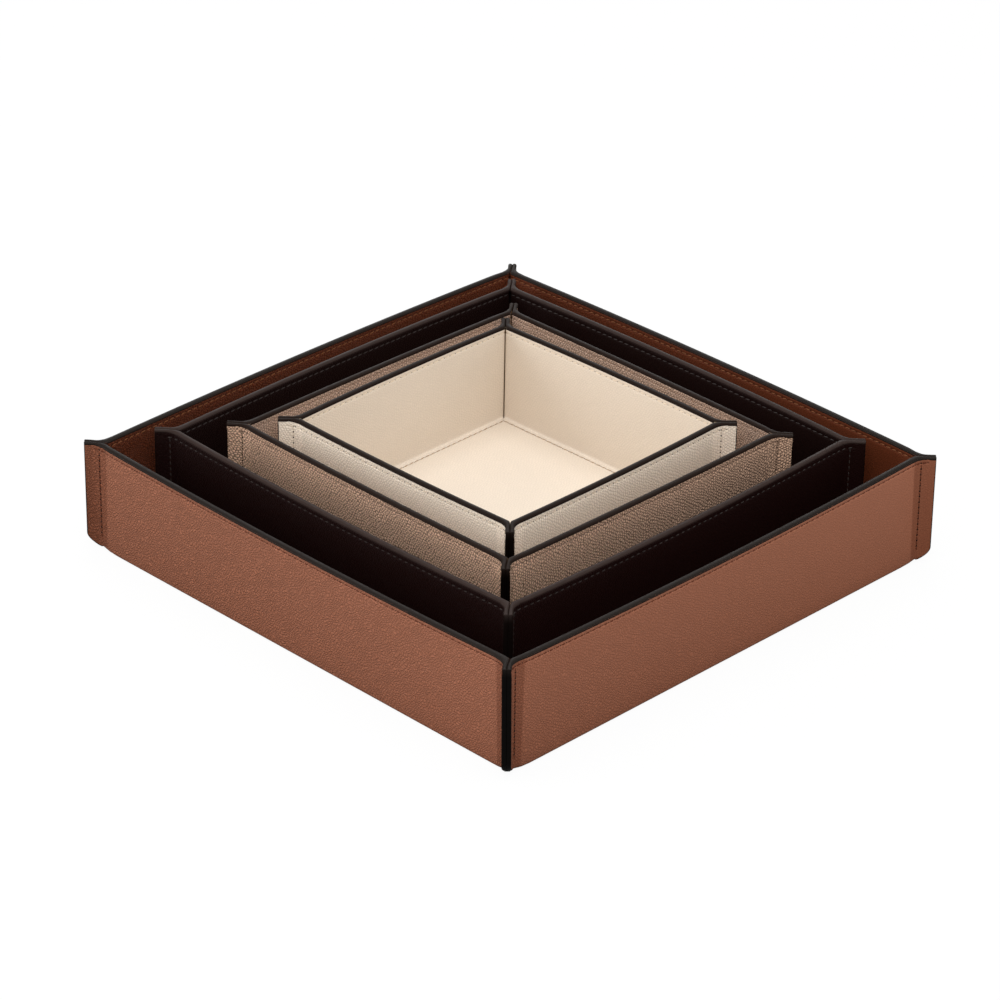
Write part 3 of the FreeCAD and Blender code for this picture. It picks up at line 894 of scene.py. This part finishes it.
def thread_material(name, rgb):
    """Twisted sewing thread, or the shade inside its needle holes."""
    if name in bpy.data.materials:
        return bpy.data.materials[name]
    material, tree, shader = new_material(name)
    where = add_node(tree, "ShaderNodeTexCoord")
    twist = add_node(
        tree, "ShaderNodeTexNoise", {"Vector": where.outputs["Object"], "Scale": 2600.0, "Detail": 1.0}
    )
    mixed = mix_colours(tree, twist.outputs["Fac"], shade(rgb, 0.7), shade(rgb, 1.25))
    tree.links.new(mixed, shader.inputs["Base Color"])
    shader.inputs["Roughness"].default_value = 0.6
    shader.inputs["Specular IOR Level"].default_value = 0.12
    return material


def board_material():
    """Fibre board."""
    name = "fibre board"
    if name in bpy.data.materials:
        return bpy.data.materials[name]
    material, tree, shader = new_material(name)
    rgb = colours().board
    where = add_node(tree, "ShaderNodeTexCoord")
    fibres = add_node(
        tree, "ShaderNodeTexNoise", {"Vector": where.outputs["Object"], "Scale": 700.0, "Detail": 4.0}
    )
    mixed = mix_colours(tree, fibres.outputs["Fac"], shade(rgb, 0.8), shade(rgb, 1.15))
    tree.links.new(mixed, shader.inputs["Base Color"])
    shader.inputs["Roughness"].default_value = 0.85
    return material


def floor_material():
    """Pale floor that looks white to the eye and keeps a soft shadow."""
    material = bpy.data.materials.new("pale floor")
    material.use_nodes = True
    tree = material.node_tree
    tree.nodes.clear()
    pale = add_node(tree, "ShaderNodeBsdfDiffuse", {"Color": (0.22, 0.22, 0.22, 1.0)})
    white = add_node(tree, "ShaderNodeEmission", {"Color": (1.0, 1.0, 1.0, 1.0), "Strength": 1.18})
    rays = add_node(tree, "ShaderNodeLightPath")
    share = work_out(tree, "MULTIPLY", rays.outputs["Is Camera Ray"], 0.8)
    mixed = add_node(
        tree,
        "ShaderNodeMixShader",
        {0: share, 1: pale.outputs["BSDF"], 2: white.outputs["Emission"]},
    )
    output = add_node(tree, "ShaderNodeOutputMaterial")
    tree.links.new(mixed.outputs["Shader"], output.inputs["Surface"])
    return material


class TRAYS_OT_outer_leathers(bpy.types.Operator):
    """Folds the outer leather of each tray"""

    bl_idname = "trays.outer_leathers"
    bl_label = "Outer Leathers"

    def execute(self, context):
        for tray in TRAYS:
            bm = skin_mesh(SkinFace(Place(tray), True))
            node = f"{tray}_tray_outer_leather"
            add_piece(f"{tray}_outer_leather", bm, tray, [leather_material(tray)], [node])
        return {"FINISHED"}


class TRAYS_OT_linings(bpy.types.Operator):
    """Folds the lining of each tray"""

    bl_idname = "trays.linings"
    bl_label = "Linings"

    def execute(self, context):
        for tray in TRAYS:
            bm = skin_mesh(SkinFace(Place(tray), False))
            node = f"{tray}_tray_lining"
            add_piece(f"{tray}_lining", bm, tray, [leather_material(tray, True)], [node])
        return {"FINISHED"}


class TRAYS_OT_boards(bpy.types.Operator):
    """Bows the wall boards with their walls and finishes the base boards"""

    bl_idname = "trays.boards"
    bl_label = "Boards"

    def execute(self, context):
        for tray in TRAYS:
            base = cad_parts[f"{tray}_tray_base_board"]
            base.data.materials.clear()
            base.data.materials.append(board_material())
            for quarter, wall in enumerate(WALLS):
                bm = board_mesh(Place(tray), quarter)
                node = f"{tray}_tray_{wall}_board"
                add_piece(f"{tray}_{wall}_wall_board", bm, tray, [board_material()], [node])
        return {"FINISHED"}


class TRAYS_OT_edge_paint(bpy.types.Operator):
    """Paints the cut edges of each tray"""

    bl_idname = "trays.edge_paint"
    bl_label = "Edge Paint"

    def execute(self, context):
        for tray in TRAYS:
            place = Place(tray)
            stations = edge_stations(SkinFace(place, True), SkinFace(place, False))
            bm = bmesh.new()
            bm.verts.layers.float.new("ear")
            for quarter in range(4):
                paint_edge(bm, stations, quarter, getattr(sizes(), f"{tray}_lap"))
            bmesh.ops.recalc_face_normals(bm, faces=bm.faces)
            add_piece(f"{tray}_edge_paint", bm, tray, [paint_material(tray)])
        return {"FINISHED"}


class TRAYS_OT_seams(bpy.types.Operator):
    """Sews the rim, corner and floor seams of each tray"""

    bl_idname = "trays.seams"
    bl_label = "Seams"

    def execute(self, context):
        pitch = sizes().stitch_pitch
        stitches = {
            "outer_rim_seam": (pitch, 0.62, 0.38 * MM),
            "inner_rim_seam": (pitch, 0.84, 0.24 * MM),
            "corner_seams": (sizes().corner_pitch, 0.7, 0.64 * MM),
            "floor_seam": (pitch, 0.96, 0.2 * MM),
        }
        patterns = {name: stitch_pattern(*stitch) for name, stitch in stitches.items()}
        for tray in TRAYS:
            place = Place(tray)
            outer, lining = SkinFace(place, True), SkinFace(place, False)
            seams = {"outer_rim_seam": [], "inner_rim_seam": [], "corner_seams": [], "floor_seam": []}
            for quarter in range(4):
                seams["outer_rim_seam"].append(rim_spots(outer, quarter))
                seams["inner_rim_seam"].append(rim_spots(lining, quarter))
                seams["floor_seam"].append(floor_spots(lining, quarter))
                for end in (-1, 1):
                    seams["corner_seams"].append(corner_spots(outer, quarter, end))
            thread = thread_material(f"{tray} thread", getattr(colours(), f"{tray}_thread"))
            inner = thread_material(f"{tray} inner thread", getattr(colours(), f"{tray}_inner_thread"))
            threads = {"inner_rim_seam": inner, "floor_seam": inner}
            if tray == "mini":
                threads["floor_seam"] = thread_material("mini floor thread", colours().mini_floor_thread)
            needle = thread_material("needle holes", colours().needle)
            for name, runs in seams.items():
                bm = bmesh.new()
                for spots in runs:
                    sew(bm, patterns[name], stitches[name][0], spots)
                add_piece(f"{tray}_{name}", bm, tray, [threads.get(name, thread), needle])
        for pattern in patterns.values():
            bpy.data.meshes.remove(pattern)
        return {"FINISHED"}


CAMERA_PLACE = Vector((1.31016, -1.34005, 1.06714))
CAMERA_AIM = Vector((-0.01258, 0.00640, 0.02390))
CAMERA_ROLL = math.radians(0.9855)
CAMERA_LENS = 149.905
CAMERA_SENSOR = 36.0
LAMPS = (
    ("left_softbox", (-1.25, -1.35, 0.55), 1.2, 16.0),
    ("top_softbox", (0.0, 0.0, 1.8), 1.6, 20.0),
    ("front_softbox", (0.9, -0.9, 1.5), 1.0, 13.0),
    ("back_softbox", (-1.4, 1.4, 0.5), 1.2, 6.0),
    ("right_softbox", (1.35, 1.25, 0.55), 1.2, 3.5),
)
LAMP_AIM = Vector((0, 0, 0.03))
AMBIENT = 0.62
FLOOR_HALF = 4
FLOOR_GAP = 0.05 * MM


def aim(thing, place, target, roll=0.0):
    """Stands a camera or lamp at a place, turned to a target."""
    turn = (target - place).to_track_quat("-Z", "Y").to_matrix().to_4x4()
    thing.matrix_world = Matrix.Translation(place) @ turn @ Matrix.Rotation(roll, 4, "Z")


class TRAYS_OT_stage(bpy.types.Operator):
    """Sets the pale floor, the soft lamps, the surroundings and the camera"""

    bl_idname = "trays.stage"
    bl_label = "Stage"

    def execute(self, context):
        scene = context.scene
        scene.view_settings.view_transform = "Standard"
        bm = bmesh.new()
        bmesh.ops.create_grid(bm, x_segments=1, y_segments=1, size=FLOOR_HALF)
        mesh = bpy.data.meshes.new("floor")
        bm.to_mesh(mesh)
        bm.free()
        mesh.materials.append(floor_material())
        floor = bpy.data.objects.new("floor", mesh)
        floor.location.z = -FLOOR_GAP
        scene.collection.objects.link(floor)
        for name, place, width, power in LAMPS:
            lamp = bpy.data.lights.new(name, "AREA")
            lamp.shape = "SQUARE"
            lamp.size = width
            lamp.energy = power
            lamp_object = bpy.data.objects.new(name, lamp)
            scene.collection.objects.link(lamp_object)
            aim(lamp_object, Vector(place), LAMP_AIM)
        world = bpy.data.worlds.new("surroundings")
        world.use_nodes = True
        scene.world = world
        tree = world.node_tree
        rays = add_node(tree, "ShaderNodeLightPath")
        dim = add_node(
            tree, "ShaderNodeMapRange", {"Value": rays.outputs["Is Camera Ray"], 3: AMBIENT, 4: 1.0}
        )
        backdrop = tree.nodes["Background"]
        backdrop.inputs["Color"].default_value = (1.0, 1.0, 1.0, 1.0)
        tree.links.new(dim.outputs["Result"], backdrop.inputs["Strength"])
        lens = bpy.data.cameras.new("camera")
        lens.sensor_width = CAMERA_SENSOR
        lens.lens = CAMERA_LENS
        camera = bpy.data.objects.new("camera", lens)
        scene.collection.objects.link(camera)
        aim(camera, CAMERA_PLACE, CAMERA_AIM, CAMERA_ROLL)
        scene.camera = camera
        return {"FINISHED"}


class TRAYS_PT_nest(bpy.types.Panel):
    """Sizes, colours and build steps of the nest of trays"""

    bl_idname = "TRAYS_PT_nest"
    bl_label = "Valet Trays"
    bl_space_type = "VIEW_3D"
    bl_region_type = "UI"
    bl_category = "Trays"

    def draw(self, context):
        layout = self.layout
        for group in (context.scene.tray_sizes, context.scene.tray_colours):
            box = layout.box()
            for key in group.__annotations__:
                box.prop(group, key)
        for step in STEPS:
            layout.operator(step.bl_idname)


STEPS = (
    TRAYS_OT_outer_leathers,
    TRAYS_OT_linings,
    TRAYS_OT_boards,
    TRAYS_OT_edge_paint,
    TRAYS_OT_seams,
    TRAYS_OT_stage,
)
CLASSES = (TraySizes, TrayColours, *STEPS, TRAYS_PT_nest)


def register():
    """Registers the classes and hangs their settings on the scene."""
    for cls in CLASSES:
        bpy.utils.register_class(cls)
    bpy.types.Scene.tray_sizes = PointerProperty(type=TraySizes)
    bpy.types.Scene.tray_colours = PointerProperty(type=TrayColours)


def unregister():
    """Takes the settings and the classes away again."""
    del bpy.types.Scene.tray_colours
    del bpy.types.Scene.tray_sizes
    for cls in reversed(CLASSES):
        bpy.utils.unregister_class(cls)


def main():
    """Registers the settings and steps, dresses the trays and sets the stage."""
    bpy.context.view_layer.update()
    register()
    bpy.ops.trays.outer_leathers()
    bpy.ops.trays.linings()
    bpy.ops.trays.boards()
    bpy.ops.trays.edge_paint()
    bpy.ops.trays.seams()
    bpy.ops.trays.stage()
    bpy.context.view_layer.update()


if __name__ == "__main__":
    main()
